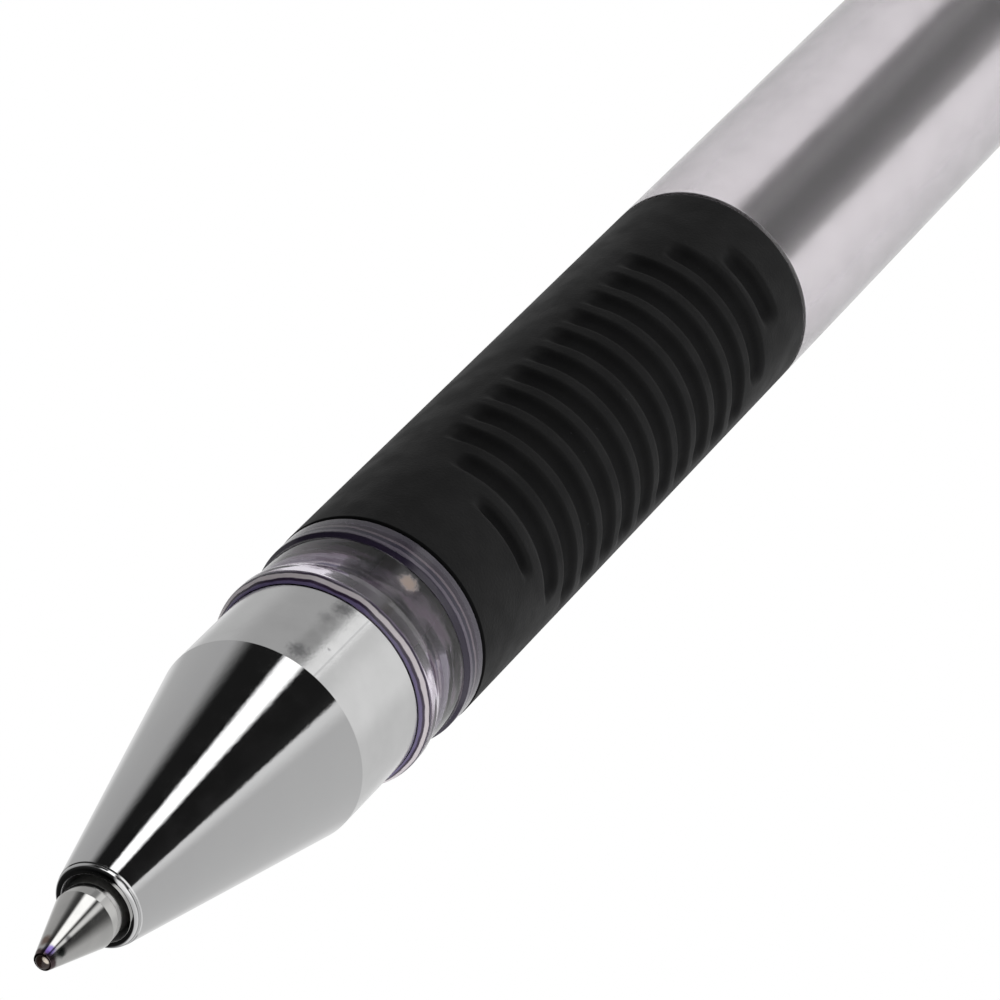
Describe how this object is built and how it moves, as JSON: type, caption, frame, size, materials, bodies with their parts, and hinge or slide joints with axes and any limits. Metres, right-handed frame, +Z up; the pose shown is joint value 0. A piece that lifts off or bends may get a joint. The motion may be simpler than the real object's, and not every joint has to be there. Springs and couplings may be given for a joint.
{
  "type": "gel pen",
  "caption": "Stick gel pen with a chromed cone nose, a clear collar and barrel, a ribbed rubber grip, and a clear clipped cap posted on its rear.",
  "frame": {"origin": "the front of the writing ball, on the pen's axis", "axes": "+X along the pen's axis from the writing tip to the rear, +Z up with the pen lying on its side, and the clip 62 degrees from straight down towards +Y"},
  "size_m": [0.1627, 0.0144, 0.012],
  "materials": {
    "carbide": "polished tungsten carbide, wet with ink",
    "nickel": "turned nickel silver",
    "natural_plastic": "natural polypropylene",
    "tube_plastic": "translucent polypropylene tube",
    "black_ink": "black gel ink",
    "follower_grease": "translucent grease",
    "chrome": "bright chrome plate",
    "clear_plastic": "clear polystyrene with a faint violet tint",
    "black_rubber": "matte moulded rubber",
    "black_plastic": "glossy black",
    "clip_chrome": "chromed spring steel"
  },
  "bodies": {
    "barrel": {"barrel": "clear_plastic", "grip_sleeve": "black_rubber", "end_plug": "black_plastic"},
    "refill": {"refill_tube": "tube_plastic", "tip_holder": "natural_plastic", "tip_body": "nickel", "ink_column": "black_ink", "ink_follower": "follower_grease"},
    "nose": {"nose_cone": "chrome"},
    "ball": {"writing_ball": "carbide"},
    "cap": {"cap_shell": "clear_plastic", "inner_cap": "natural_plastic", "cap_crown": "black_plastic"},
    "clip": {"pocket_clip": "clip_chrome"}
  },
  "joints": [
    {"name": "cap_slide", "type": "slide", "parent": "barrel", "child": "cap", "axis": [1, 0, 0], "range_m": [0, 0.024]},
    {"name": "clip_flex", "type": "hinge", "parent": "cap", "child": "clip", "pos_m": [0.15965, 0.00521, -0.00277], "axis": [0, -0.4695, -0.8829], "range_deg": [0, 5], "stiffness_Nm_per_rad": 1},
    {"name": "refill_draw", "type": "slide", "parent": "barrel", "child": "refill", "axis": [-1, 0, 0], "range_m": [0, 0.005]},
    {"name": "cone_turn", "type": "hinge", "parent": "refill", "child": "nose", "pos_m": [0.01927, 0, 0], "axis": [-1, 0, 0], "range_deg": [0, 1800]},
    {"name": "ball_roll", "type": "hinge", "parent": "refill", "child": "ball", "pos_m": [0.00035, 0, 0], "axis": [0, 1, 0], "continuous": true}
  ],
  "couplings": [
    {"joint": "cone_turn", "follows": "refill_draw", "rad_per_m": 6283.2}
  ]
}
